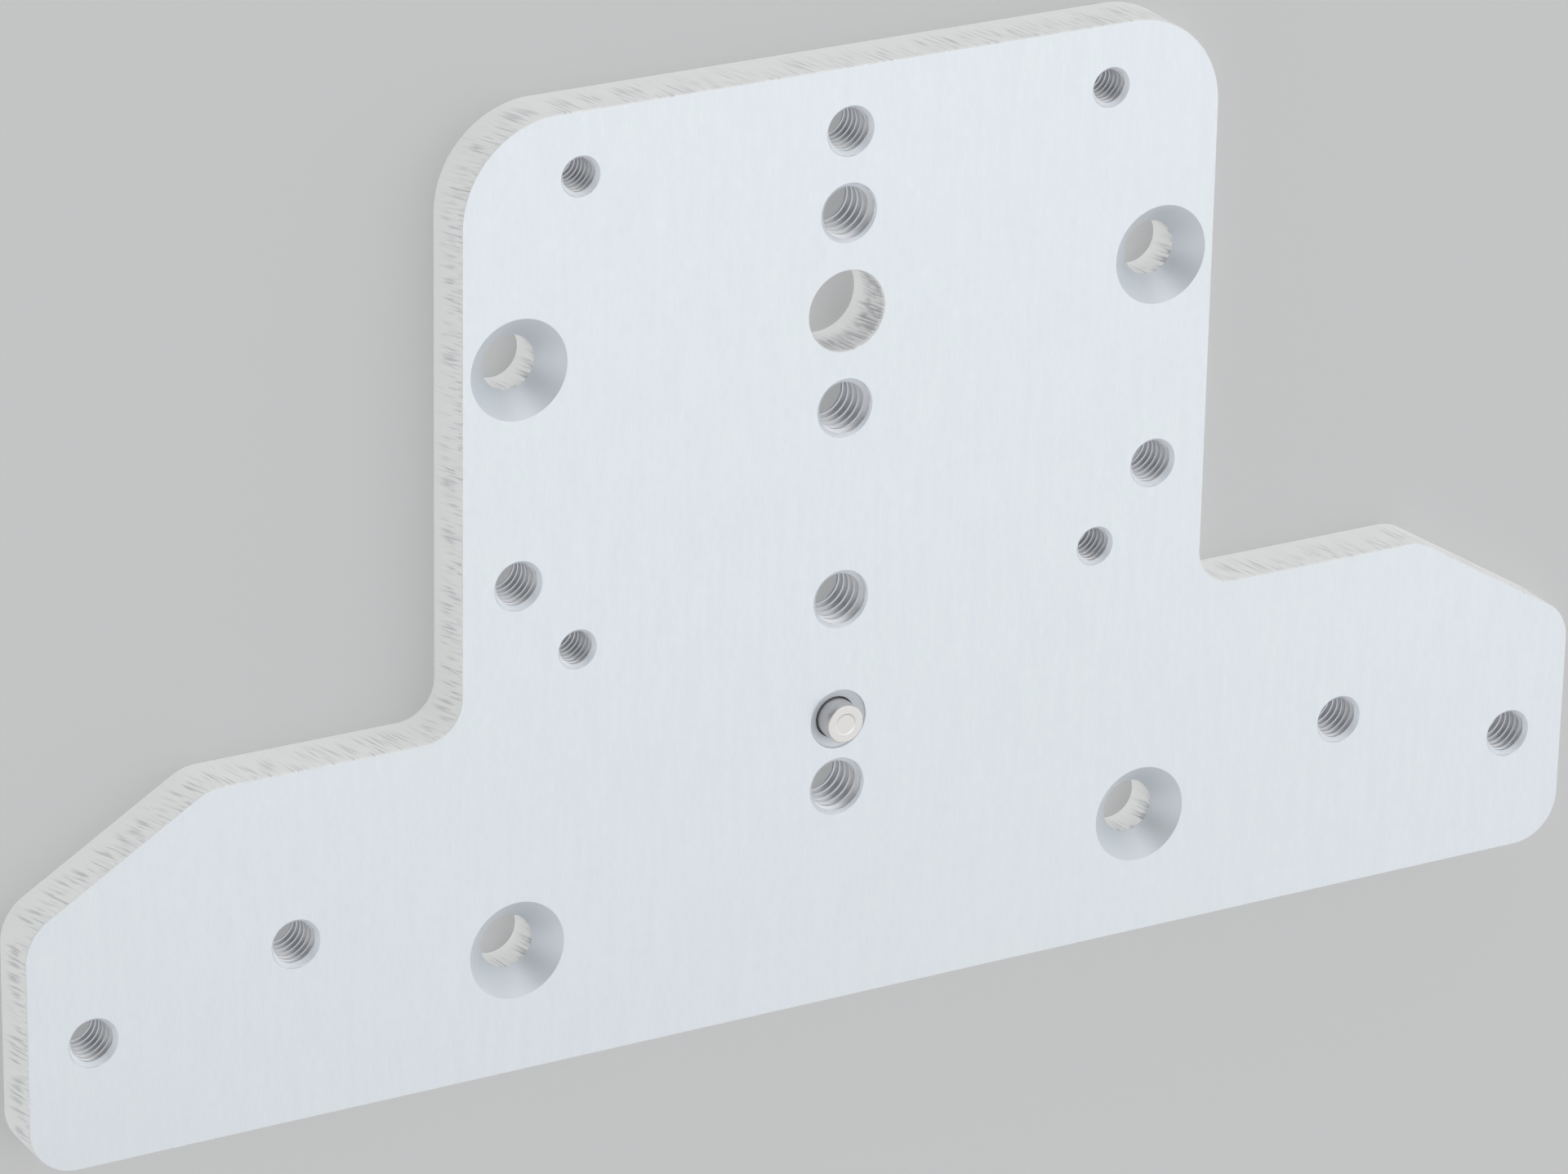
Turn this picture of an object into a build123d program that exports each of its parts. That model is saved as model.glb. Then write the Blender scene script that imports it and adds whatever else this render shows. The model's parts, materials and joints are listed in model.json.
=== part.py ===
from build123d import *
import math
import os

# A flat T-shaped adapter plate, cut from aluminium sheet, with one dowel pin pressed into it.
# It lies on its back face. X runs across the wings, Y runs up the stem and Z points out of the
# front face. The origin is on the back face, at the middle of the outline's box.
# The plate is the same on both sides of the YZ plane. All sizes are in millimetres.

# Sheet
plate_thickness = 6.0
edge_break = 0.1  # width and depth of the deburred edge on the outline and the plain bore

# Hole rows and columns. The plain bore on the centre line is the datum for the rows.
countersunk_pitch_x = 70.5
countersunk_pitch_y = 60.25  # from the bore's row down to the lower row
m6_pitch = 20.0  # the bore lies midway between the first two
m6_count = 4
m5_side_drop = 22.0  # below the bore, under the upper countersunk holes
m4_pitch_x = 57.75
m4_pitch_y = 48.0
upper_row_rise = 18.25  # the upper M4 pair and the M5 hole between them, above the bore
wing_inner_pitch = 117.75
wing_inner_rise = 5.75  # above the lower countersunk row
wing_outer_pitch = 160.0
dowel_above_last_m6 = 7.25

# Outline, as margins round the holes
stem_side_margin = 6.0
wing_side_margin = 6.75
top_margin = 24.75
bottom_margin = 13.0
shoulder_drop = 36.5  # from the bore down to the shoulders
corner_cut_width = 19.0
corner_cut_height = 11.5
stem_top_radius = 10.0
stem_foot_radius = 4.0
wing_corner_radius = 5.0
wing_bottom_radius = 5.0

# Holes
bore_diameter = 8.2
screw_clearance_diameter = 5.5
countersink_diameter = 10.2
m6_drill_diameter = 5.0
m6_mouth_diameter = 6.1
m5_drill_diameter = 4.2
m5_mouth_diameter = 5.15
m4_drill_diameter = 3.3
m4_mouth_diameter = 4.15

# Dowel pin
dowel_diameter = 4.0
dowel_length = 6.0
dowel_stand_out = 1.5
dowel_taper_length = 0.5  # the slender taper at each end
dowel_taper_angle = 15.0  # degrees from the axis
dowel_mouth_diameter = 6.2
dowel_back_break = 0.3

# Half widths, and the heights of the edges and rows
stem_half = countersunk_pitch_x / 2 + stem_side_margin
wing_half = wing_outer_pitch / 2 + wing_side_margin
plate_height = top_margin + countersunk_pitch_y + bottom_margin
top_y = plate_height / 2
bottom_y = -plate_height / 2
bore_y = top_y - top_margin
shoulder_y = bore_y - shoulder_drop
lower_row_y = bore_y - countersunk_pitch_y
m6_rows = [bore_y + m6_pitch * (0.5 - i) for i in range(m6_count)]
dowel_y = m6_rows[-1] + dowel_above_last_m6


def outline():
    """The plate's outline: half of it as corners with their radii, mirrored for the other half."""
    right = [
        (wing_half, bottom_y, wing_bottom_radius),
        (wing_half, shoulder_y - corner_cut_height, wing_corner_radius),
        (wing_half - corner_cut_width, shoulder_y, wing_corner_radius),
        (stem_half, shoulder_y, stem_foot_radius),
        (stem_half, top_y, stem_top_radius),
    ]
    corners = right + [(-x, y, r) for x, y, r in reversed(right)]
    points = [(x, y) for x, y, _ in corners]
    radii = [r for _, _, r in corners]
    return make_face(FilletPolyline(*points, radius=radii, close=True))


def hole_tool(diameter, front_mouth, back_mouth):
    """A through hole with a 45 degree cone at each face, as a solid that runs past both faces."""
    r = diameter / 2
    front, back = front_mouth / 2, back_mouth / 2
    past = diameter
    top = plate_thickness
    profile = Polyline(
        (0, -past),
        (back + past, -past),
        (r, back - r),
        (r, top - (front - r)),
        (front + past, top + past),
        (0, top + past),
        close=True,
    )
    return revolve(Plane.XZ * make_face(profile), Axis.Z)


def at(tool, places):
    """Copies of a tool at a list of (x, y) places."""
    return [Pos(x, y, 0) * tool for x, y in places]


def mirrored(x, y):
    """A place and its mirror image."""
    return [(-x, y), (x, y)]


def adapter_plate():
    """The plate with its broken edges and all of its holes."""
    plate = extrude(outline(), plate_thickness)
    rims = plate.faces().filter_by(Axis.Z).edges()
    plate = chamfer(rims, edge_break)

    bore = hole_tool(bore_diameter, bore_diameter + 2 * edge_break, bore_diameter + 2 * edge_break)
    countersunk = hole_tool(screw_clearance_diameter, countersink_diameter,
                            screw_clearance_diameter + 2 * edge_break)
    m6 = hole_tool(m6_drill_diameter, m6_mouth_diameter, m6_mouth_diameter)
    m5 = hole_tool(m5_drill_diameter, m5_mouth_diameter, m5_mouth_diameter)
    m4 = hole_tool(m4_drill_diameter, m4_mouth_diameter, m4_mouth_diameter)
    dowel = hole_tool(dowel_diameter, dowel_mouth_diameter, dowel_diameter + 2 * dowel_back_break)

    column = countersunk_pitch_x / 2
    upper_row_y = bore_y + upper_row_rise
    tools = at(bore, [(0, bore_y)])
    tools += at(countersunk, mirrored(column, bore_y) + mirrored(column, lower_row_y))
    tools += at(m6, [(0, y) for y in m6_rows])
    tools += at(m5, [(0, upper_row_y)])
    tools += at(m5, mirrored(column, bore_y - m5_side_drop))
    tools += at(m5, mirrored(wing_inner_pitch / 2, lower_row_y + wing_inner_rise))
    tools += at(m5, mirrored(wing_outer_pitch / 2, lower_row_y))
    tools += at(m4, mirrored(m4_pitch_x / 2, upper_row_y))
    tools += at(m4, mirrored(m4_pitch_x / 2, upper_row_y - m4_pitch_y))
    tools += at(dowel, [(0, dowel_y)])
    return plate - tools


def dowel_pin():
    """The dowel pin in its hole, standing out of the front face, with both ends tapered."""
    r = dowel_diameter / 2
    end = plate_thickness + dowel_stand_out
    start = end - dowel_length
    taper = dowel_taper_length
    end_r = r - taper * math.tan(math.radians(dowel_taper_angle))
    profile = Polyline(
        (0, start), (end_r, start), (r, start + taper), (r, end - taper), (end_r, end), (0, end), close=True,
    )
    return Pos(0, dowel_y, 0) * revolve(Plane.XZ * make_face(profile), Axis.Z)


os.makedirs("parts", exist_ok=True)
for name, shape in {"adapter_plate": adapter_plate(), "dowel_pin": dowel_pin()}.items():
    export_step(shape, f"parts/{name}.step")
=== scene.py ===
"""The look of a flat T-shaped adapter plate of aluminium sheet, with a steel dowel pin in it.

The plate is one closed surface: its cut edges, its two faces and the walls of all of its holes,
with real threads in the tapped ones. Sizes in the classes are in millimetres, and meshes are in
metres.
"""

import json
import logging
import math
from dataclasses import dataclass, field
from enum import Enum, IntEnum
from typing import Any

import bmesh
import bpy
import numpy as np
from mathutils import Matrix, Vector
from mathutils.geometry import delaunay_2d_cdt

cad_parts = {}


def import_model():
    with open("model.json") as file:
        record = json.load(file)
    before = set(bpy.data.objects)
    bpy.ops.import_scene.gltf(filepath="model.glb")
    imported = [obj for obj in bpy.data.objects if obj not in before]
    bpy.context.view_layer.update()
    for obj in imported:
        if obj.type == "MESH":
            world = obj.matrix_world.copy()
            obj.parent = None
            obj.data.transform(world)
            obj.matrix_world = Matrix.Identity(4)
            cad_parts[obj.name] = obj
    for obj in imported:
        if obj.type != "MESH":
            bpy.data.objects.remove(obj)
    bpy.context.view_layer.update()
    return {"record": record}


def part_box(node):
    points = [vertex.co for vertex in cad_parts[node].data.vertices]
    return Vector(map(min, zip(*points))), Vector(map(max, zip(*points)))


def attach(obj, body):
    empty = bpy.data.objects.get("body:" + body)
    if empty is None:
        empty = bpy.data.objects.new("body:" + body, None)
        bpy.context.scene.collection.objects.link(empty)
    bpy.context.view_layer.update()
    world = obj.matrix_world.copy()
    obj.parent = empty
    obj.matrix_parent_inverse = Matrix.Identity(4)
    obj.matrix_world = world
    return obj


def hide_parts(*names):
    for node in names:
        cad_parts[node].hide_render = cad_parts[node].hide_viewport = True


frame: dict[str, Any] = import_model()

log = logging.getLogger("adapter_plate")

MM = 0.001
FULL_TURN = 2 * np.pi
WELD_DISTANCE = 2e-7
HULL_TRIANGLES = 0
TRIANGLE_PRECISION = 1e-6
FLANK_ANGLE = 30.0
MIX_FIRST, MIX_SECOND, MIX_RESULT = 6, 7, 2
# The tear attribute carries the cut tears and, in the bore, painted shade towards the front face.
TEAR_AND_SHADE_ATTRIBUTE = "tear"
RUN_ATTRIBUTE = "run"

Colour = tuple[float, float, float]
Triple = tuple[float, float, float]
Span = tuple[float, float]


class Zone(IntEnum):
    """The plate's surfaces, in the order of its material slots: both faces, the cut outline, the
    countersinks, the threads, the mouths of the tapped holes with all of the dowel's hole, and
    the walls of the untapped holes.
    """

    SHEET = 0
    CUT = 1
    CONE = 2
    THREAD = 3
    MOUTH = 4
    BORE = 5


class Tap(Enum):
    """The three sizes of tapped hole, each by its pitch, its cone's width and its sides."""

    LARGE = (1.0, 0.55, 60)
    MEDIUM = (0.8, 0.475, 52)
    SMALL = (0.7, 0.425, 46)

    @property
    def pitch(self) -> float:
        """Height of one turn of the thread, in mm."""
        return self.value[0]

    @property
    def cone(self) -> float:
        """Width of the cone at each face, in mm."""
        return self.value[1]

    @property
    def sides(self) -> int:
        """Sides of the round hole."""
        return self.value[2]


def ease(values: np.ndarray, start: float = 0.0, end: float = 1.0) -> np.ndarray:
    """Goes smoothly from 0 to 1: three times the square less twice the cube of the share of the
    way from start to end, which is held to 0..1.

    Args:
        values: The values to ease.
        start: The value at which the rise starts.
        end: The value at which it ends.

    Returns:
        The eased values.
    """
    held = np.clip((values - start) / (end - start), 0.0, 1.0)
    return held * held * (3.0 - 2.0 * held)


@dataclass(frozen=True)
class Lattice:
    """Seeded noise on a lattice that closes on itself across, and ends along."""

    table: np.ndarray

    @classmethod
    def seeded(cls, rng: np.random.Generator, across: int, along: int) -> "Lattice":
        """A lattice of random values from 0 to 1, of at least 3 points across and 2 along."""
        return cls(rng.random((max(across, 3), max(along, 2))))

    def at(self, across: np.ndarray, along: np.ndarray) -> np.ndarray:
        """Values between the lattice points: the four nearest, each weighed by its eased nearness.

        Args:
            across: Share of the way round, of any size.
            along: Share of the way along, from 0 to 1.

        Returns:
            Values from 0 to 1.
        """
        cells, rows = self.table.shape
        u = across * cells
        v = np.clip(along, 0.0, 1.0) * (rows - 1)
        i = np.floor(u).astype(int)
        j = np.minimum(np.floor(v).astype(int), rows - 2)
        s, t = ease(u - i), ease(v - j)
        low, high = (self.table[i % cells, row] * (1 - s) + self.table[(i + 1) % cells, row] * s
                     for row in (j, j + 1))
        return low * (1 - t) + high * t


@dataclass(frozen=True)
class CutMarks:
    """The torn streaks that cutting leaves across a wall, deepest towards the front face, and an
    even share that is painted shade where it is set.

    Attributes:
        width, length: Size of a streak, along the wall and up it.
        patch: Length of wall over which the streaks come and go.
        lean: How far a streak runs along the wall for each mm of height.
        depth: Depth of a full tear.
        start, spread: The noise above which the wall is torn, and how far above it fully.
        patch_span: The levels of the slow noise between which the streaks come.
        calm_share: Share of the strength that is left between the patches.
        back_share: Share of the strength at the back face.
        front_from, front_full: The heights between which the strength grows.
        face_fade: Height over which the tears end at each face.
        shade_share: Share of the strength that isn't in streaks but all over. Where it is set, as
            in the bore, it is painted shade, darker towards the front face.
    """

    width: float = 0.26
    length: float = 2.4
    patch: float = 7.0
    lean: float = 0.2
    depth: float = 0.012
    start: float = 0.6
    spread: float = 0.3
    patch_span: Span = (0.125, 0.75)
    calm_share: float = 0.4
    back_share: float = 0.22
    front_from: float = 1.6
    front_full: float = 3.6
    face_fade: float = 0.5
    shade_share: float = 0.0

    def over(self, run: np.ndarray, height: np.ndarray, around: float, thickness: float,
             rng: np.random.Generator) -> np.ndarray:
        """How torn the wall is: noise stretched up it and cut off below a level, times a slow
        change along the wall. An even share is added, painted shade where it is set, and the height
        weighs the sum.

        Args:
            run: Distance along the wall.
            height: Height above the back face.
            around: Length of the wall all the way round.
            thickness: The plate's thickness.
            rng: The source of random values.

        Returns:
            Values from 0, smooth, to 1, torn or darkened by the painted shade.
        """
        share, rise = run / around, height / thickness
        streak = Lattice.seeded(rng, round(around / self.width), round(thickness / self.length) + 1)
        patch = Lattice.seeded(rng, round(around / self.patch), 2)
        torn = ease(streak.at(share, rise), self.start, self.start + self.spread)
        patchy = ease(patch.at(share, rise), *self.patch_span)
        patchy = self.calm_share + (1 - self.calm_share) * patchy
        front = ease(height, self.front_from, self.front_full)
        fade = ease(thickness - height, end=self.face_fade) * ease(height, end=self.face_fade)
        weight = (self.back_share + (1 - self.back_share) * front) * fade
        # The even share is painted shade, which the height makes darker towards the front face.
        return weight * (self.shade_share + (1 - self.shade_share) * torn * patchy)


@dataclass
class PatchMesh:
    """Patches of one closed mesh, gathered as whole arrays and welded where they meet."""

    points: list[np.ndarray] = field(default_factory=list)
    tears: list[np.ndarray] = field(default_factory=list)
    runs: list[np.ndarray] = field(default_factory=list)
    corners: list[np.ndarray] = field(default_factory=list)
    zones: list[np.ndarray] = field(default_factory=list)
    count: int = 0

    def add(self, points: np.ndarray, corners: np.ndarray, zones: np.ndarray,
            tears: np.ndarray | None = None, runs: np.ndarray | None = None) -> None:
        """Adds a patch.

        Args:
            points: Its points, one row each, in mm.
            corners: The points of each face, counted within the patch.
            zones: The zone of each face.
            tears: How torn each point is, with painted shade where it is set.
            runs: How far along the cut each point is, in mm.
        """
        smooth = np.zeros(len(points))
        self.points.append(points)
        self.tears.append(smooth if tears is None else tears)
        self.runs.append(smooth if runs is None else runs)
        self.corners.append(corners + self.count)
        self.zones.append(zones)
        self.count += len(points)

    def add_grid(self, grid: np.ndarray, zones: np.ndarray, closed: bool, inward: bool,
                 tears: np.ndarray | None = None, runs: np.ndarray | None = None) -> None:
        """Adds a grid of points as four-sided faces.

        Args:
            grid: Points by row and column, in mm. Columns run anticlockwise, and rows rise.
            zones: The zone of the faces between each two rows.
            closed: Whether the last column joins the first.
            inward: Whether the faces point to the middle, as on the wall of a hole.
            tears: How torn each point is, with painted shade where it is set.
            runs: How far along the cut each point is, by row and column.
        """
        rows, columns = grid.shape[:2]
        index = np.arange(rows * columns).reshape(rows, columns)
        if closed:
            index = np.concatenate([index, index[:, :1]], axis=1)
        faces = np.stack([index[:-1, :-1], index[:-1, 1:], index[1:, 1:], index[1:, :-1]], axis=-1)
        each = np.repeat(zones, faces.shape[1])
        faces = faces.reshape(-1, 4)
        if inward:
            faces = faces[:, ::-1]
        flat = [None if values is None else values.ravel() for values in (tears, runs)]
        self.add(grid.reshape(-1, 3), faces, each, *flat)

    def weld(self, name: str, materials: list[bpy.types.Material],
             sharp: float) -> bpy.types.Object:
        """Makes the object, joins what meets and marks the sharp edges.

        Args:
            name: The piece's name.
            materials: A material for each zone.
            sharp: The angle in degrees from which an edge is sharp.

        Returns:
            The new object, at the origin.

        Raises:
            ValueError: If the surface isn't closed.
        """
        mesh = bpy.data.meshes.new(name)
        faces = [face for patch in self.corners for face in patch.tolist()]
        mesh.from_pydata(np.concatenate(self.points) * MM, [], faces)
        mesh.polygons.foreach_set("material_index", np.concatenate(self.zones).astype(np.int32))
        for attribute, values in ((TEAR_AND_SHADE_ATTRIBUTE, self.tears), (RUN_ATTRIBUTE, self.runs)):
            made = mesh.attributes.new(attribute, "FLOAT", "POINT")
            made.data.foreach_set("value", np.concatenate(values).astype(np.float32))
        for material in materials:
            mesh.materials.append(material)

        solid = bmesh.new()
        solid.from_mesh(mesh)
        bmesh.ops.remove_doubles(solid, verts=solid.verts[:], dist=WELD_DISTANCE)
        open_edges = sum(1 for edge in solid.edges if not edge.is_manifold)
        solid.to_mesh(mesh)
        solid.free()
        if open_edges:
            raise ValueError(f"{name} has {open_edges} open edges")

        mesh.polygons.foreach_set("use_smooth", np.ones(len(mesh.polygons), bool))
        mesh.set_sharp_from_angle(angle=math.radians(sharp))
        piece = bpy.data.objects.new(name, mesh)
        bpy.context.scene.collection.objects.link(piece)
        return piece


class Path:
    """A closed line of straight runs and tangent arcs, measured by the length run along it."""

    def __init__(self, corners: np.ndarray) -> None:
        """Works out each arc and each straight run.

        Args:
            corners: x, y and radius of each corner, anticlockwise.
        """
        place, radius = corners[:, :2], corners[:, 2]
        side = np.roll(place, -1, axis=0) - place
        leaving = np.arctan2(side[:, 1], side[:, 0])
        coming = np.roll(leaving, 1)
        turn = (leaving - coming + np.pi) % FULL_TURN - np.pi
        cut = radius * np.tan(np.abs(turn) / 2)
        arc_start = place - cut[:, None] * self.unit(coming)
        arc_end = place + cut[:, None] * self.unit(leaving)
        straight = np.hypot(side[:, 0], side[:, 1]) - cut - np.roll(cut, -1)
        self.starts = np.stack([arc_start, arc_end], axis=1).reshape(-1, 2)
        self.headings = np.stack([coming, leaving], axis=1).ravel()
        self.bends = np.stack([np.sign(turn) / radius, np.zeros(len(turn))], axis=1).ravel()
        lengths = np.stack([radius * np.abs(turn), straight], axis=1).ravel()
        self.ends = np.cumsum(lengths)
        self.begins = self.ends - lengths
        self.length = float(self.ends[-1])

    @staticmethod
    def unit(angle: np.ndarray) -> np.ndarray:
        """The unit vector of each angle."""
        return np.stack([np.cos(angle), np.sin(angle)], axis=-1)

    def at(self, run: np.ndarray) -> tuple[np.ndarray, np.ndarray]:
        """Points on the line and the ways out of it. From the start of its arc or straight, a
        point lies the chord's length away, at the heading halfway along.

        Args:
            run: Distances along the line, of any size.

        Returns:
            The points, and the unit vectors that point outwards.
        """
        held = run % self.length
        piece = np.minimum(np.searchsorted(self.ends, held, side="right"), len(self.ends) - 1)
        along = held - self.begins[piece]
        half_turn = self.bends[piece] * along / 2
        chord = along * np.sinc(half_turn / np.pi)
        middle = self.headings[piece] + half_turn
        point = self.starts[piece] + chord[..., None] * self.unit(middle)
        return point, self.unit(middle + half_turn - np.pi / 2)


@dataclass
class Hole:
    """A round hole through the plate, with a cone at each face that is as deep as it is wide.
    The radius is the wall's, or that of the thread's crests. A hole with a pitch is tapped, and
    its thread's root and depth are shares of the pitch. A mouth with a ledge is stepped: a steep
    rim, and a ledge that falls by a share of its width. The relief widens the wall below it.
    """

    x: float
    y: float
    radius: float
    front_cone: float
    back_cone: float
    sides: int
    wall: Zone
    cone: Zone
    pitch: float = 0.0
    marks: CutMarks | None = None
    relief: float = 0.0
    relief_depth: float = 0.4
    ledge_width: float = 0.0
    ledge_rim: float = 0.2
    ledge_fall: float = 0.5
    row_height: float = 0.4
    cone_row_height: float = 0.07
    root_flat: float = 0.125
    depth_share: float = 0.541

    @property
    def thread_depth(self) -> float:
        """Depth of the thread, five eighths of the full triangle's."""
        return self.depth_share * self.pitch

    @property
    def flank(self) -> float:
        """Share of the pitch that each flank takes, at 30 degrees from square."""
        return self.depth_share * math.tan(math.radians(FLANK_ANGLE))

    @property
    def crest_end(self) -> float:
        """Share of the pitch that the crest takes, before the flank that leads to the root."""
        return 1 - 2 * self.flank - self.root_flat

    @property
    def mouth_steps(self) -> tuple[np.ndarray, np.ndarray]:
        """The steps of a stepped mouth: a steep rim, a ledge that slopes in, and a drop.

        Returns:
            Their depths and their radii.
        """
        rim, width = self.ledge_rim, self.ledge_width
        mouth = self.radius + self.front_cone
        outer = mouth - rim / 2
        depths = np.array([0.0, rim, rim + width * self.ledge_fall, self.front_cone])
        return depths, np.array([mouth, outer, outer - width, self.radius])

    def heights(self, turn: np.ndarray, thickness: float) -> tuple[np.ndarray, np.ndarray]:
        """Heights of the grid. Rows are level in the cones, and at the steps of a stepped mouth.
        Between the cones of a tapped hole each row climbs one pitch in a turn, along an edge of
        the thread, and is held to the stretch between the cones.

        Args:
            turn: Share of the way round of each column, from 0 to 1.
            thickness: The plate's thickness.

        Returns:
            The heights by row and column, and the zone between each two rows.
        """
        low, high = self.back_cone, thickness - self.front_cone
        step = self.cone_row_height if self.pitch else self.row_height
        back = np.linspace(0.0, low, math.ceil(self.back_cone / step) + 1)
        if self.ledge_width:
            front = thickness - self.mouth_steps[0][::-1]
        else:
            front = np.linspace(high, thickness, math.ceil(self.front_cone / step) + 1)
        level = np.zeros((1, len(turn)))
        if self.pitch:
            edges = np.array([0.0, self.crest_end, self.crest_end + self.flank, 1 - self.flank])
            turns = np.arange(math.floor(low / self.pitch) - 1, math.ceil(high / self.pitch) + 1)
            starts = (turns[:, None] + edges[None, :]).ravel()
            middle = np.clip(self.pitch * (starts[:, None] + turn[None, :]), low, high)
        else:
            steps = math.ceil((high - low) / step)
            middle = np.linspace(low, high, steps + 1)[1:-1, None] + level
        rows = np.concatenate([back[:, None] + level, middle, front[:, None] + level])
        zones = np.full(len(rows) - 1, int(self.wall))
        zones[:len(back) - 1] = int(self.cone)
        zones[len(rows) - len(front):] = int(self.cone)
        return rows, zones

    def radii(self, turn: np.ndarray, heights: np.ndarray, thickness: float,
              tears: np.ndarray) -> np.ndarray:
        """Radius of each point: the widest of the wall and the two cones. A torn wall is wider by
        its tears, and a tapped one by its thread, whose depth rises and falls along its flanks by
        the height less the climb so far. A stepped mouth runs straight from step to step.

        Args:
            turn: Share of the way round of each column.
            heights: Heights by row and column.
            thickness: The plate's thickness.
            tears: How torn each point is.

        Returns:
            The radii by row and column, in mm.
        """
        depth = thickness - heights
        closed_in = ease(depth - self.front_cone, self.relief_depth, 2 * self.relief_depth)
        wall = self.radius + self.relief * (1 - closed_in)
        if self.marks:
            wall = wall + self.marks.depth * tears
        if self.pitch:
            phase = (heights / self.pitch - turn[None, :]) % 1.0
            rise = np.minimum(phase - self.crest_end, 1 - phase) / self.flank
            wall = self.radius + self.thread_depth * np.clip(rise, 0.0, 1.0)
        back = self.radius + self.back_cone - heights
        front = self.radius + self.front_cone - depth
        if self.ledge_width:
            front = np.interp(depth, *self.mouth_steps)
        wide = np.maximum(np.maximum(back, front), wall)
        wide[0], wide[-1] = self.radius + self.back_cone, self.radius + self.front_cone
        return wide

    def add_to(self, patches: PatchMesh, thickness: float,
               rng: np.random.Generator) -> tuple[np.ndarray, np.ndarray]:
        """Adds the hole's surface to the plate. A plain hole's last column closes on its first. A
        thread's is one pitch further up, so that each turn joins the next.

        Args:
            patches: The plate's patches.
            thickness: The plate's thickness.
            rng: The source of random values.

        Returns:
            The loops of points at the front and back face, without the column that closes them.
        """
        turn = np.linspace(0.0, 1.0, self.sides + 1)
        heights, zones = self.heights(turn, thickness)
        tears = np.zeros_like(heights)
        around = FULL_TURN * self.radius
        run, angle = (turn * full + np.zeros_like(heights) for full in (around, FULL_TURN))
        if self.marks:
            tears = self.marks.over(run, heights, around, thickness, rng)
            angle = angle + self.marks.lean * heights / self.radius
        radii = self.radii(turn, heights, thickness, tears)
        x = self.x + radii * np.cos(angle)
        y = self.y + radii * np.sin(angle)
        grid = np.stack([x, y, heights], axis=-1)
        if not self.pitch:
            grid[:, -1] = grid[:, 0]
        patches.add_grid(grid, zones, closed=False, inward=True, tears=tears, runs=run)
        return grid[-1, :-1], grid[0, :-1]


class Signal:
    """A socket that Python arithmetic reads, adding a Math node for each operation."""

    def __init__(self, graph: "Graph", socket: bpy.types.NodeSocket) -> None:
        """Wraps a socket of a graph."""
        self.graph = graph
        self.socket = socket

    def math(self, operation: str, first: Any, second: Any) -> "Signal":
        """A Math node of that operation on two values."""
        return self.graph.node("Math", {"operation": operation}, {0: first, 1: second})

    def __add__(self, other: Any) -> "Signal":
        """Sum."""
        return self.math("ADD", self, other)

    def __rsub__(self, other: Any) -> "Signal":
        """Difference from another value."""
        return self.math("SUBTRACT", other, self)

    def __mul__(self, other: Any) -> "Signal":
        """Product."""
        return self.math("MULTIPLY", self, other)

    def larger(self, other: Any) -> "Signal":
        """The larger of the two."""
        return self.math("MAXIMUM", self, other)

    def eased(self, start: float, end: float) -> "Signal":
        """Goes smoothly from 0 at one value to 1 at the other."""
        sockets = {"Value": self, "From Min": start, "From Max": end}
        return self.graph.node("MapRange", {"interpolation_type": "SMOOTHSTEP"}, sockets)


class Graph:
    """The nodes of one material or of the world."""

    def __init__(self, tree: bpy.types.NodeTree) -> None:
        """Empties the tree."""
        self.tree = tree
        tree.nodes.clear()

    def node(self, kind: str, settings: dict[str, Any], sockets: dict[str | int, Any],
             output: str | int = 0) -> Signal | None:
        """Adds a node, sets it and feeds it.

        Args:
            kind: The node's type, without its first word.
            settings: Its settings, set before its sockets.
            sockets: A value or a signal for each socket, by name or number.
            output: The output to return, by name or number.

        Returns:
            The output as a signal, or None for a node without one.
        """
        made = self.tree.nodes.new("ShaderNode" + kind)
        for name, value in settings.items():
            setattr(made, name, value)
        for name, value in sockets.items():
            if isinstance(value, Signal):
                self.tree.links.new(value.socket, made.inputs[name])
            else:
                made.inputs[name].default_value = value
        return Signal(self, made.outputs[output]) if made.outputs else None

    def blend(self, share: Any, first: Any, second: Any) -> Signal:
        """Mixes two colours."""
        sockets = {0: share, MIX_FIRST: self.rgba(first), MIX_SECOND: self.rgba(second)}
        return self.node("Mix", {"data_type": "RGBA"}, sockets, output=MIX_RESULT)

    @staticmethod
    def rgba(colour: Any) -> Any:
        """A plain colour with its fourth number, or a signal as it is."""
        return colour if isinstance(colour, Signal) else (*colour, 1.0)

    def place(self, per_mm: Triple = (1.0, 1.0, 1.0), centre: Triple = (0.0, 0.0, 0.0)) -> Signal:
        """Object coordinates from a centre.

        Args:
            per_mm: Units for each mm along each axis.
            centre: The centre, in mm.

        Returns:
            The stretched coordinates.
        """
        at = self.node("TexCoord", {}, {}, output="Object")
        from_centre = self.node("VectorMath", {"operation": "SUBTRACT"},
                                {0: at, 1: tuple(c * MM for c in centre)})
        return self.node("VectorMath", {"operation": "MULTIPLY"},
                         {0: from_centre, 1: tuple(s / MM for s in per_mm)})

    def noise(self, place: Signal, detail: float) -> Signal:
        """Noise from 0 to 1 at a place."""
        return self.node("TexNoise", {}, {"Vector": place, "Scale": 1.0, "Detail": detail})


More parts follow.
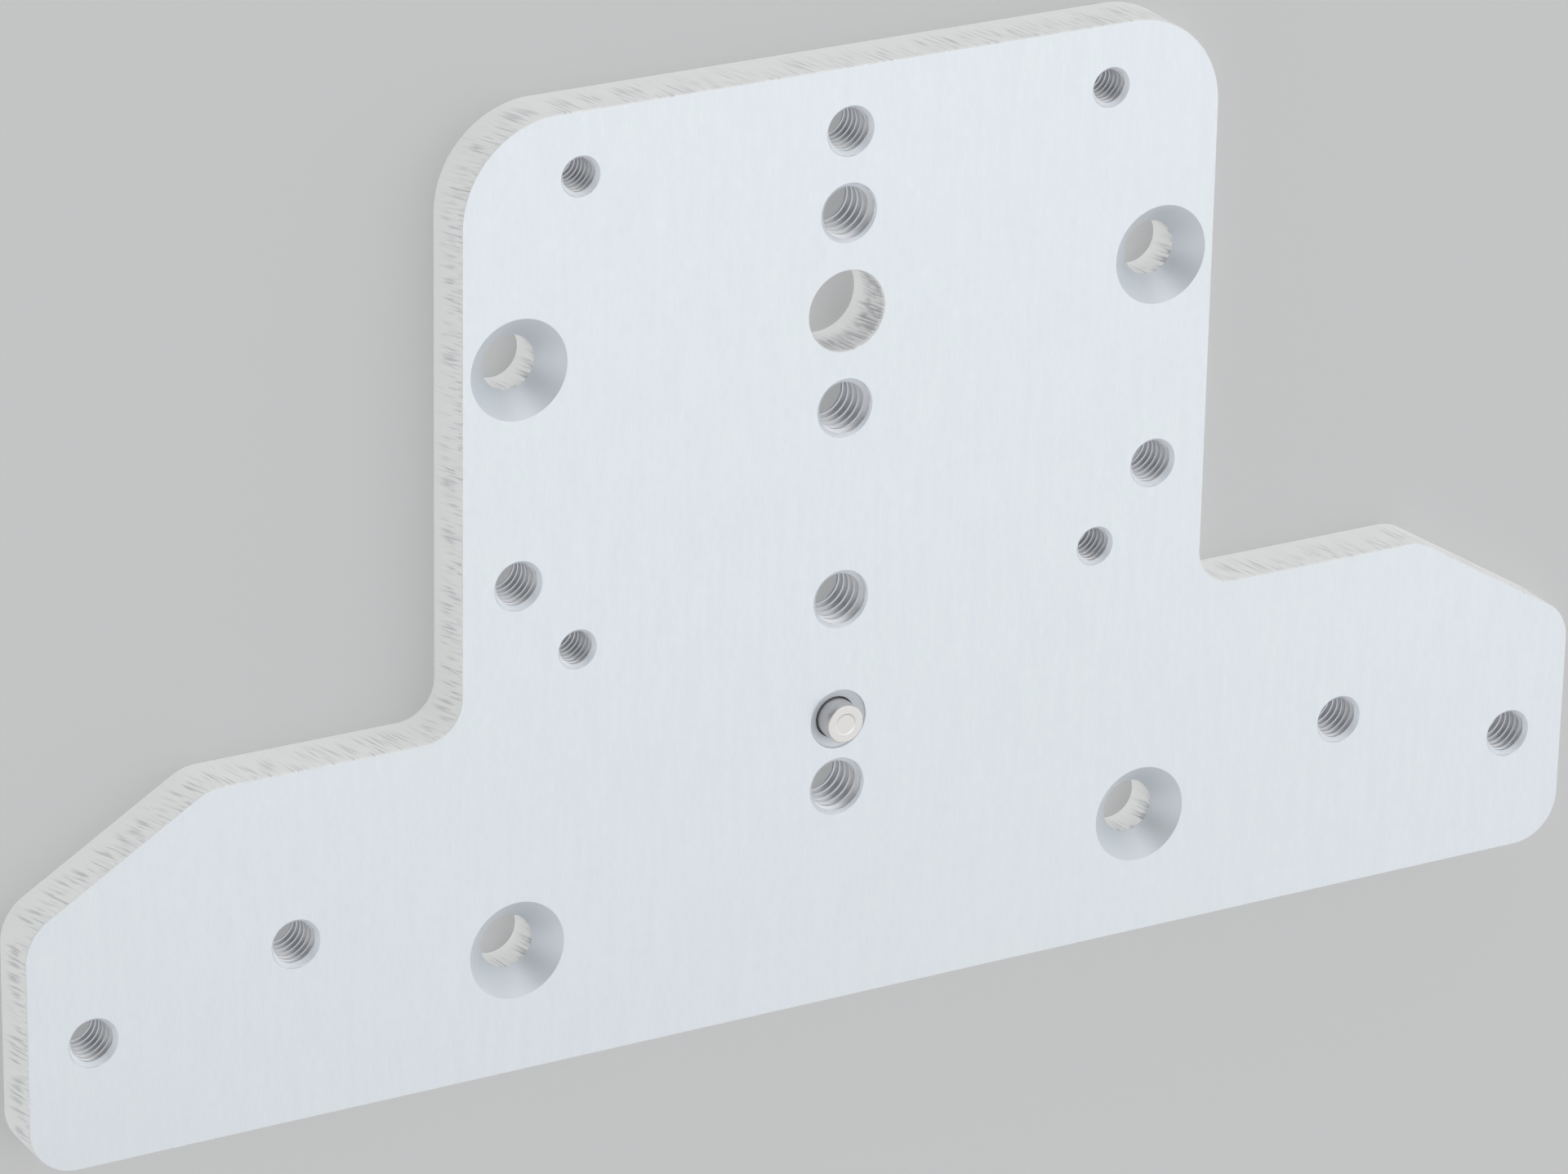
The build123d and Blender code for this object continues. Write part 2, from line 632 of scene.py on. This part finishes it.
@dataclass(frozen=True)
class Finish:
    """A metal finish: its colours between the marks and in them, its roughness, which the marks
    change, and the depth of the marks in mm. Its tint is a second plain colour.
    """

    name: str
    plain: Colour
    marked: Colour
    roughness: float
    roughness_change: float = 0.06
    mark_depth: float = 0.004
    mark_strength: float = 0.5
    metallic: float = 1.0
    tint: Colour | None = None
    cloud_per_mm: float = 0.05
    cloud_span: Span = (0.35, 0.65)

    def marks(self, graph: Graph) -> Signal:
        """The marks that making leaves, from 0 to 1. Each kind of finish has its own."""
        raise NotImplementedError

    def material(self) -> bpy.types.Material:
        """Makes the finish's material: the marks change its colour and roughness and give its
        relief, and a slow cloudiness turns its plain colour towards the tint, if there is one.

        Returns:
            The material.
        """
        made = bpy.data.materials.new(self.name)
        made.use_nodes = True
        graph = Graph(made.node_tree)
        marks = self.marks(graph)
        plain: Any = self.plain
        if self.tint:
            cloud = graph.noise(graph.place((self.cloud_per_mm,) * 3), detail=4.0)
            plain = graph.blend(cloud.eased(*self.cloud_span), self.plain, self.tint)
        relief = graph.node("Bump", {}, {
            "Strength": self.mark_strength,
            "Distance": self.mark_depth * MM,
            "Height": marks,
        })
        shader = graph.node("BsdfPrincipled", {}, {
            "Base Color": graph.blend(marks, plain, self.marked),
            "Metallic": self.metallic,
            "Roughness": marks * self.roughness_change + self.roughness,
            "Normal": relief,
        })
        graph.node("OutputMaterial", {}, {"Surface": shader})
        return made


@dataclass(frozen=True)
class SheetFinish(Finish):
    """Rolled and fine-brushed sheet, with short faint dashes along the stem."""

    dash_per_mm: Triple = (5.0, 0.7, 1.0)
    dash_span: Span = (0.32, 0.68)
    dash_share: float = 0.6
    rub_per_mm: Triple = (1.1, 0.12, 1.0)
    rub_span: Span = (0.30, 0.70)
    rub_share: float = 0.4

    def marks(self, graph: Graph) -> Signal:
        """Fine dashes over longer rubbed streaks.

        Args:
            graph: The material's nodes.

        Returns:
            The marks, from 0 to 1.
        """
        dashes = graph.noise(graph.place(self.dash_per_mm), detail=3.0).eased(*self.dash_span)
        rubs = graph.noise(graph.place(self.rub_per_mm), detail=2.0).eased(*self.rub_span)
        return dashes * self.dash_share + rubs * self.rub_share


@dataclass(frozen=True)
class CutFinish(Finish):
    """A cut wall, torn in streaks from face to face: needles, with finer lines between them."""

    tear_and_shade_share: float = 0.35
    needles_per_mm: float = 3.8
    needle_span: Span = (0.49, 0.64)
    needle_share: float = 0.85
    lines_per_mm: float = 8.0
    line_span: Span = (0.35, 0.75)
    line_share: float = 0.35
    patches_per_mm: float = 0.45
    patch_span: Span = (0.35, 0.65)
    calm_share: float = 0.4
    rise_per_mm: float = 0.2
    front_span: Span = (0.6, 3.8)
    back_share: float = 0.25
    full_at: float = 1.15

    def marks(self, graph: Graph) -> Signal:
        """The torn streaks of the mesh, with the painted shade that it carries in the bore, and
        finer ones between them. These follow the run of the cut, come and go in patches and are
        stronger towards the front face.

        Args:
            graph: The material's nodes.

        Returns:
            The marks, from 0 to 1.
        """
        # torn reads the mesh's tears and, in the bore, the painted shade towards the front face.
        torn, run = (graph.node("Attribute", {"attribute_name": name}, {}, output="Fac")
                     for name in (TEAR_AND_SHADE_ATTRIBUTE, RUN_ATTRIBUTE))
        height = graph.node("SeparateXYZ", {}, {0: graph.place()}, output="Z")
        rise = height * self.rise_per_mm
        layers = ((self.needles_per_mm, self.needle_span), (self.lines_per_mm, self.line_span),
                  (self.patches_per_mm, self.patch_span))
        needle, line, patch = (
            graph.noise(graph.node("CombineXYZ", {}, {"X": run * per_mm, "Y": rise, "Z": layer}),
                        detail=1.0).eased(*span)
            for layer, (per_mm, span) in enumerate(layers))
        streak = needle * self.needle_share + line * self.line_share
        front = height.eased(*self.front_span) * (1 - self.back_share) + self.back_share
        patchy = patch * (1 - self.calm_share) + self.calm_share
        return (torn * self.tear_and_shade_share + streak * front * patchy).eased(0.0, self.full_at)


@dataclass(frozen=True)
class TurnedFinish(Finish):
    """A surface turned by a tool, with fine rings round the hole's axis."""

    ring_per_mm: Triple = (0.35, 0.35, 9.0)

    def marks(self, graph: Graph) -> Signal:
        """Rings: noise that changes fast with the height, and so with the radius of a cone."""
        return graph.noise(graph.place(self.ring_per_mm), detail=3.0)


@dataclass(frozen=True)
class PinFinish(Finish):
    """Ground steel with turned rings on its end. The side takes the marked colour all over, a
    darker tone that is painted shade.
    """

    axis: Triple = (0.0, 0.0, 0.0)
    ring_per_mm: float = 5.0
    ring_share: float = 0.6
    ground_per_mm: Triple = (0.9, 0.9, 7.0)
    ground_share: float = 0.4
    side_from: float = 1.9
    side_full: float = 1.96
    end_share: float = 0.35

    def marks(self, graph: Graph) -> Signal:
        """Rings by the distance from the pin's axis, over fine ground lines, on the end. They give
        way to full marks past the radius at which the side starts, and these paint the side's
        darker tone, which is painted shade.

        Args:
            graph: The material's nodes.

        Returns:
            The marks, from 0 to 1.
        """
        flat = graph.place((self.ring_per_mm, self.ring_per_mm, 0.0), self.axis)
        distance = graph.node("VectorMath", {"operation": "LENGTH"}, {0: flat}, output="Value")
        sockets = {"W": distance, "Scale": 1.0, "Detail": 3.0}
        rings = graph.node("TexNoise", {"noise_dimensions": "1D"}, sockets)
        ground = graph.noise(graph.place(self.ground_per_mm), detail=3.0)
        # The side's mask: there the marked colour paints the side darker, painted shade.
        side = distance.eased(self.side_from * self.ring_per_mm, self.side_full * self.ring_per_mm)
        end = rings * self.ring_share + ground * self.ground_share
        return end * (1 - side) * self.end_share + side


@dataclass
class AdapterPlate:
    """The plate, with the sizes that the frame's boxes and mounts don't give."""

    stem_side_margin: float = 6.0
    shoulder_drop: float = 36.5
    corner_cut_width: float = 19.0
    corner_cut_height: float = 11.5
    stem_top_radius: float = 10.0
    stem_foot_radius: float = 4.0
    wing_radius: float = 5.0
    edge_break: float = 0.1
    countersink_radius: float = 5.1
    dowel_mouth_radius: float = 3.1
    dowel_back_break: float = 0.3
    dowel_relief: float = 0.06
    dowel_ledge: float = 0.84
    clearance_row: float = 0.26
    dowel_row: float = 0.2
    hole_sides: int = 96
    bore_sides: int = 176
    column_width: float = 0.13
    rim_rows: int = 8
    front_crowding: float = 1.3
    sharp_angle: float = 27.0
    rim_marks: CutMarks = CutMarks()
    # The bore's even share is painted shade that darkens its wall towards the front face; its
    # streaks are cut marks.
    bore_marks: CutMarks = CutMarks(
        lean=0.14, width=0.22, length=1.0, depth=0.03, start=0.42, shade_share=0.42,
        front_from=1.0, front_full=3.4, back_share=0.05)
    clearance_marks: CutMarks = CutMarks(
        lean=0.14, width=0.30, length=0.9, depth=0.05, start=0.4,
        front_from=2.7, back_share=0.03)
    seed: int = 11

    def __post_init__(self) -> None:
        """Reads the plate's box and the mounts from the frame."""
        low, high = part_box("adapter_plate")
        self.low, self.high = np.array(low) / MM, np.array(high) / MM
        self.thickness = float(self.high[2] - self.low[2])
        self.mounts = {mount["name"]: mount for mount in frame["record"]["mounts"]}
        self.pin_low, self.pin_high = (np.array(corner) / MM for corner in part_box("dowel_pin"))

    def places(self, name: str) -> np.ndarray:
        """Hole centres of a mount: its centre, with half of each spacing added and taken away.

        Args:
            name: The mount's name.

        Returns:
            One row of x and y for each hole, in mm.
        """
        mount = self.mounts[name]
        spacing = [mount["dims"].get(f"spacing_{axis}_mm", 0.0) for axis in "xy"]
        signs = np.array([(-1, -1), (1, -1), (-1, 1), (1, 1)])
        return np.unique(np.array(mount["pos_m"][:2]) / MM + signs * np.array(spacing) / 2, axis=0)

    def hole_radius(self, name: str) -> float:
        """Radius that a mount gives for its holes, in mm."""
        dims = self.mounts[name]["dims"]
        return dims["hole_r_mm"] if "hole_r_mm" in dims else dims["r_mm"]

    def outline(self) -> Path:
        """The outline: half of its corners with their radii, mirrored for the other half.

        Returns:
            The closed line.
        """
        wing, top, bottom = self.high[0], self.high[1], self.low[1]
        stem = self.places("countersunk_holes")[:, 0].max() + self.stem_side_margin
        shoulder = self.places("plain_bore")[0, 1] - self.shoulder_drop
        right = np.array([
            (wing, bottom, self.wing_radius),
            (wing, shoulder - self.corner_cut_height, self.wing_radius),
            (wing - self.corner_cut_width, shoulder, self.wing_radius),
            (stem, shoulder, self.stem_foot_radius),
            (stem, top, self.stem_top_radius),
        ])
        return Path(np.concatenate([right, right[::-1] * (-1, 1, 1)]))

    def tapped(self, name: str, tap: Tap) -> list[Hole]:
        """The tapped holes of a mount."""
        radius = self.hole_radius(name)
        return [Hole(x, y, radius, front_cone=tap.cone, back_cone=tap.cone, sides=tap.sides,
                     wall=Zone.THREAD, cone=Zone.MOUTH, pitch=tap.pitch)
                for x, y in self.places(name)]

    def holes(self) -> list[Hole]:
        """Every hole of the plate.

        Returns:
            The holes, kind by kind.
        """
        made = self.tapped("m5_top_hole", Tap.MEDIUM)
        for name in ("m6_upper_pair", "m6_lower_pair"):
            made += self.tapped(name, Tap.LARGE)
        for name in ("m5_side_pair", "m5_wing_inner_pair", "m5_wing_outer_pair"):
            made += self.tapped(name, Tap.MEDIUM)
        made += self.tapped("m4_holes", Tap.SMALL)

        radius = self.hole_radius("countersunk_holes")
        made += [Hole(x, y, radius, front_cone=self.countersink_radius - radius,
                      back_cone=self.edge_break, sides=self.hole_sides, wall=Zone.BORE,
                      cone=Zone.CONE, marks=self.clearance_marks, row_height=self.clearance_row)
                 for x, y in self.places("countersunk_holes")]
        x, y = self.places("plain_bore")[0]
        made.append(Hole(x, y, self.hole_radius("plain_bore"), front_cone=self.edge_break,
                         back_cone=self.edge_break, sides=self.bore_sides, wall=Zone.BORE,
                         cone=Zone.BORE, marks=self.bore_marks))
        x, y = (self.pin_low[:2] + self.pin_high[:2]) / 2
        radius = float(self.pin_high[0] - self.pin_low[0]) / 2
        made.append(Hole(x, y, radius, front_cone=self.dowel_mouth_radius - radius,
                         back_cone=self.dowel_back_break, sides=self.hole_sides, wall=Zone.MOUTH,
                         cone=Zone.MOUTH, relief=self.dowel_relief, ledge_width=self.dowel_ledge,
                         row_height=self.dowel_row))
        return made

    def add_rim(self, patches: PatchMesh,
                rng: np.random.Generator) -> tuple[np.ndarray, np.ndarray]:
        """Adds the cut edge: the outline carried up through the plate, leaning back as it rises,
        drawn in at both faces and torn inwards by the cut marks.

        Args:
            patches: The plate's patches.
            rng: The source of random values.

        Returns:
            The loops of points at the front and back face.
        """
        line = self.outline()
        columns = round(line.length / self.column_width)
        share = np.linspace(0.0, 1.0, self.rim_rows + 1)
        span = self.thickness - 2 * self.edge_break
        wall = self.edge_break + span * (1 - (1 - share) ** self.front_crowding)
        height = np.concatenate([[0.0], wall, [self.thickness]])[:, None]
        run = np.linspace(0.0, line.length, columns, endpoint=False) + np.zeros_like(height)
        height = height + np.zeros_like(run)
        tears = self.rim_marks.over(run, height, line.length, self.thickness, rng)
        point, out = line.at(run - self.rim_marks.lean * height)
        inset = self.rim_marks.depth * tears
        inset[0] = inset[-1] = self.edge_break
        point = point - inset[..., None] * out
        grid = np.concatenate([point, height[..., None]], axis=-1)
        zones = np.full(len(grid) - 1, int(Zone.CUT))
        patches.add_grid(grid, zones, closed=True, inward=False, tears=tears, runs=run)
        return grid[-1], grid[0]

    @staticmethod
    def inside(points: np.ndarray, loop: np.ndarray) -> np.ndarray:
        """Whether points are inside a loop: a line to the right crosses it an odd number of times.

        Args:
            points: x and y of each point.
            loop: x and y of the loop's points.

        Returns:
            True for each point inside.
        """
        x, y = points[:, :1], points[:, 1:2]
        ax, ay = loop[None, :, 0], loop[None, :, 1]
        bx, by = np.roll(ax, -1, axis=1), np.roll(ay, -1, axis=1)
        spans = (ay > y) != (by > y)
        slope = np.where(spans, (bx - ax) / np.where(by == ay, 1.0, by - ay), 0.0)
        return (spans & (x < ax + slope * (y - ay))).sum(axis=1) % 2 == 1

    def add_face(self, patches: PatchMesh, rim: np.ndarray, mouths: list[np.ndarray],
                 front: bool) -> None:
        """Adds a flat face: the triangles between the rim and the mouths of the holes.

        Args:
            patches: The plate's patches.
            rim: The outline's points at this face.
            mouths: The points of each hole's mouth.
            front: Whether it is the front face.
        """
        loops = [rim, *mouths]
        sizes = np.array([len(loop) for loop in loops])
        owner = np.repeat(np.arange(len(loops)), sizes)
        points = np.concatenate(loops)
        first = np.repeat(np.cumsum(sizes) - sizes, sizes)
        index = np.arange(len(points))
        after = first + (index - first + 1) % sizes[owner]
        edges = np.stack([index, after], axis=1).tolist()
        flat = [Vector(point) for point in points[:, :2].tolist()]
        _, _, triangles, sources, _, _ = delaunay_2d_cdt(
            flat, edges, [], HULL_TRIANGLES, TRIANGLE_PRECISION, True)
        corners = np.array([given[0] for given in sources])[np.array(triangles)]
        middle = points[corners, :2].mean(axis=1)
        in_hole = (owner[corners] == owner[corners[:, :1]]).all(axis=1) & (owner[corners[:, 0]] > 0)
        corners = corners[self.inside(middle, rim) & ~in_hole]
        a, b, c = (points[corners[:, k], :2] for k in range(3))
        area = (b[:, 0] - a[:, 0]) * (c[:, 1] - a[:, 1]) - (b[:, 1] - a[:, 1]) * (c[:, 0] - a[:, 0])
        turned = (area > 0) != front
        corners[turned] = corners[turned][:, ::-1]
        patches.add(points, corners, np.full(len(corners), int(Zone.SHEET)))

    def build(self, finishes: dict[Zone, Finish]) -> bpy.types.Object:
        """Builds the plate and dresses it.

        Args:
            finishes: The finish of each zone.

        Returns:
            The plate's object.
        """
        rng = np.random.default_rng(self.seed)
        patches = PatchMesh()
        rim_front, rim_back = self.add_rim(patches, rng)
        mouths = [hole.add_to(patches, self.thickness, rng) for hole in self.holes()]
        self.add_face(patches, rim_front, [front for front, _ in mouths], front=True)
        self.add_face(patches, rim_back, [back for _, back in mouths], front=False)
        materials = [finishes[zone].material() for zone in Zone]
        piece = patches.weld("plate_surface", materials, self.sharp_angle)
        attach(piece, "root")
        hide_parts("adapter_plate")
        return piece


@dataclass
class DowelPin:
    """The dowel pin, a turned and ground steel rod with slender tapered ends."""

    taper_length: float = 0.5
    taper_angle: float = 4.0
    edge_round: float = 0.10
    disc_radius: float = 1.1
    disc_drop: float = 0.03
    disc_slope: float = 0.08
    edge_points: int = 6
    end_points: int = 33
    sides: int = 96
    sharp_angle: float = 35.0

    def __post_init__(self) -> None:
        """Reads the pin's place and sizes from the frame."""
        low, high = (np.array(corner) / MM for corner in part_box("dowel_pin"))
        self.radius = float(high[0] - low[0]) / 2
        self.start, self.end = float(low[2]), float(high[2])
        self.centre = (low[:2] + high[:2]) / 2

    def profile(self) -> np.ndarray:
        """Half of the pin's section, from the middle of its hidden end to the middle of its
        front end: straight lines with slender tapers, an arc round the front edge, and an eased
        step down to the disc inside the front end.

        Returns:
            Radius and height of each point, in mm.
        """
        lean = math.radians(self.taper_angle)
        inner = self.radius - self.taper_length * math.tan(lean)
        side = [(0.0, self.start), (inner, self.start),
                (self.radius, self.start + self.taper_length),
                (self.radius, self.end - self.taper_length)]
        flat = inner - self.edge_round
        angle = np.linspace(lean, np.pi / 2, self.edge_points)
        edge = np.stack([flat + self.edge_round * np.cos(angle),
                         self.end - self.edge_round + self.edge_round * np.sin(angle)], axis=1)
        across = np.linspace(flat, 0.0, self.end_points)[1:]
        step = self.disc_drop * ease(self.disc_radius - across, end=self.disc_slope)
        return np.concatenate([side, edge, np.stack([across, self.end - step], axis=1)])

    def build(self, finish: Finish) -> bpy.types.Object:
        """Turns the profile about the pin's axis and dresses it.

        Args:
            finish: The steel's finish.

        Returns:
            The pin's object.
        """
        radius, height = self.profile().T
        angle = np.linspace(0.0, FULL_TURN, self.sides, endpoint=False)
        x = self.centre[0] + radius[:, None] * np.cos(angle)
        y = self.centre[1] + radius[:, None] * np.sin(angle)
        grid = np.stack([x, y, height[:, None] + np.zeros_like(x)], axis=-1)
        patches = PatchMesh()
        patches.add_grid(grid, np.zeros(len(grid) - 1, int), closed=True, inward=False)
        piece = patches.weld("pin_surface", [finish.material()], self.sharp_angle)
        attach(piece, "root")
        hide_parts("dowel_pin")
        return piece


@dataclass(frozen=True)
class Glow:
    """A soft change of the sky's light about one direction.

    Attributes:
        towards: The direction.
        edge, full: Cosines of the angles from it at which the change starts and is full.
        gain: How much it changes the light.
    """

    towards: Triple
    edge: float
    full: float
    gain: float

    def share(self, graph: Graph, direction: Signal) -> Signal:
        """How far into the glow each direction is, by its closeness to the glow's own.

        Args:
            graph: The world's nodes.
            direction: The direction of each ray.

        Returns:
            A signal from 0 to 1.
        """
        way = tuple(Vector(self.towards).normalized())
        near = graph.node("VectorMath", {"operation": "DOT_PRODUCT"}, {0: direction, 1: way},
                          output="Value")
        return near.eased(self.edge, self.full)


@dataclass
class Studio:
    """The floor, the soft light from all round and the camera."""

    camera_place: Triple = (-0.3331, 0.2788, 0.58938)
    camera_ahead: Triple = (0.45023, -0.38866, -0.80389)
    camera_up: Triple = (0.17384, 0.92123, -0.34802)
    lens_mm: float = 171.89
    sensor_mm: float = 36.0
    floor_size: float = 8.0
    floor_roughness: float = 0.9
    floor_colour: Colour = (0.60, 0.605, 0.61)
    floor_glow: Colour = (0.78, 0.785, 0.79)
    floor_seen_share: float = 0.30
    floor_mirrored_share: float = 0.94
    sky_level: float = 0.60
    key: Glow = Glow((0.62, 0.0, 0.78), 0.62, 0.88, 0.46)
    key_lower_edge: Glow = Glow((0.2, -0.93, 0.3), 0.70, 0.82, 0.95)
    glows: tuple[Glow, ...] = (
        Glow((-0.95, -0.3, 0.2), 0.75, 0.97, 0.33),
        Glow((0.1, 0.98, 0.12), 0.82, 0.98, 0.7),
        Glow((0.0, 0.0, -1.0), -0.28, -0.05, 0.3),
        Glow((0.1, 0.0, 1.0), 0.94, 0.99, 0.45),
        Glow((-0.45, -0.40, 0.80), 0.78, 0.95, -0.10),
    )
    dark_patch: Glow = Glow((-0.42, 0.36, 0.83), 0.85, 0.98, 0.8)

    def add_floor(self) -> bpy.types.Object:
        """Makes the plain pale floor under the plate.

        Returns:
            The floor's object.
        """
        half = self.floor_size / 2
        mesh = bpy.data.meshes.new("floor")
        corners = [(-half, -half, 0), (half, -half, 0), (half, half, 0), (-half, half, 0)]
        mesh.from_pydata(corners, [], [(0, 1, 2, 3)])
        material = bpy.data.materials.new("floor")
        material.use_nodes = True
        graph = Graph(material.node_tree)
        paint = graph.node("BsdfPrincipled", {}, {
            "Base Color": graph.rgba(self.floor_colour),
            "Roughness": self.floor_roughness,
        })
        backdrop = graph.node("Emission", {}, {"Color": graph.rgba(self.floor_glow)})
        share = graph.node("LightPath", {}, {}, output="Is Camera Ray") * self.floor_seen_share
        for ray in ("Is Glossy Ray", "Is Transmission Ray"):
            mirrored = graph.node("LightPath", {}, {}, output=ray)
            share = share.larger(mirrored * self.floor_mirrored_share)
        shader = graph.node("MixShader", {}, {0: share, 1: paint, 2: backdrop})
        graph.node("OutputMaterial", {}, {"Surface": shader})
        mesh.materials.append(material)
        floor = bpy.data.objects.new("floor", mesh)
        bpy.context.scene.collection.objects.link(floor)
        return floor

    def light(self) -> None:
        """Lights the scene by the sky alone: a level, a key glow held back at its lower edge, the
        other glows in turn (at the left, past the stem, round the horizon, overhead and a slight
        shade), and a dark patch.
        """
        world = bpy.data.worlds.new("studio")
        world.use_nodes = True
        bpy.context.scene.world = world
        graph = Graph(world.node_tree)
        direction = graph.node("TexCoord", {}, {}, output="Generated")
        held = 1 - self.key_lower_edge.share(graph, direction) * self.key_lower_edge.gain
        level = self.key.share(graph, direction) * self.key.gain * held + self.sky_level
        for glow in self.glows:
            level = level + glow.share(graph, direction) * glow.gain
        level = level * (1 - self.dark_patch.share(graph, direction) * self.dark_patch.gain)
        sky = graph.node("Background", {}, {"Color": (1.0, 1.0, 1.0, 1.0), "Strength": level})
        graph.node("OutputWorld", {}, {"Surface": sky})

    def add_camera(self) -> None:
        """Places the camera at the photograph's viewing angle."""
        data = bpy.data.cameras.new("camera")
        data.lens = self.lens_mm
        data.sensor_width = self.sensor_mm
        data.sensor_fit = "HORIZONTAL"
        camera = bpy.data.objects.new("camera", data)
        ahead = Vector(self.camera_ahead).normalized()
        right = ahead.cross(Vector(self.camera_up)).normalized()
        turned = Matrix((right, right.cross(ahead), -ahead)).transposed().to_4x4()
        camera.matrix_world = Matrix.Translation(self.camera_place) @ turned
        bpy.context.scene.collection.objects.link(camera)
        bpy.context.scene.camera = camera


def finishes() -> dict[Zone, Finish]:
    """The finish of each zone of the plate."""
    return {
        Zone.SHEET: SheetFinish(
            "brushed_sheet", plain=(0.775, 0.82, 0.872), marked=(0.75, 0.795, 0.845),
            roughness=0.28, mark_strength=0.4, tint=(0.77, 0.83, 0.845)),
        Zone.CUT: CutFinish(
            "cut_edge", plain=(0.94, 0.95, 0.94), marked=(0.70, 0.71, 0.725),
            roughness=0.62, roughness_change=0.10, mark_depth=0.016, metallic=0.75),
        Zone.CONE: TurnedFinish(
            "turned_cone", plain=(0.785, 0.83, 0.875), marked=(0.745, 0.79, 0.835),
            roughness=0.44, metallic=0.6),
        Zone.THREAD: TurnedFinish(
            "tapped_thread", plain=(0.90, 0.915, 0.94), marked=(0.80, 0.82, 0.85),
            roughness=0.34, mark_strength=0.3, metallic=0.8),
        # A paler copy of the turned cone finish: its colour is painted light that lifts the shade
        # in these mouths, round the pin most of all.
        Zone.MOUTH: TurnedFinish(
            "turned_mouth", plain=(0.85, 0.90, 0.95), marked=(0.81, 0.86, 0.91),
            roughness=0.46, mark_strength=0.4, metallic=0.4),
        # Its marked colour is that of the cut marks and of the painted shade that darkens the
        # bore's wall towards the front face.
        Zone.BORE: CutFinish(
            "bore_wall", plain=(0.97, 0.975, 0.965), marked=(0.60, 0.61, 0.63),
            roughness=0.60, roughness_change=0.10, mark_depth=0.02, tear_and_shade_share=0.65),
    }


def log_size(piece: bpy.types.Object) -> None:
    """Logs how many faces and points a piece has."""
    mesh = piece.data
    log.info("%s has %d faces and %d points", piece.name, len(mesh.polygons), len(mesh.vertices))


def main() -> None:
    """Builds the studio, the plate and the pin."""
    logging.basicConfig(level=logging.INFO, format="%(name)s: %(message)s")
    bpy.context.scene.view_settings.view_transform = "Standard"
    studio = Studio()
    studio.add_camera()
    studio.light()
    log_size(studio.add_floor())

    log_size(AdapterPlate().build(finishes()))
    pin = DowelPin()
    # The marked colour is the pin side's darker tone, painted shade.
    steel = PinFinish(
        "turned_steel", plain=(0.75, 0.745, 0.735), marked=(0.72, 0.70, 0.695),
        roughness=0.24, roughness_change=0.10, mark_depth=0.006, axis=(*pin.centre, 0.0))
    log_size(pin.build(steel))


if __name__ == "__main__":
    main()
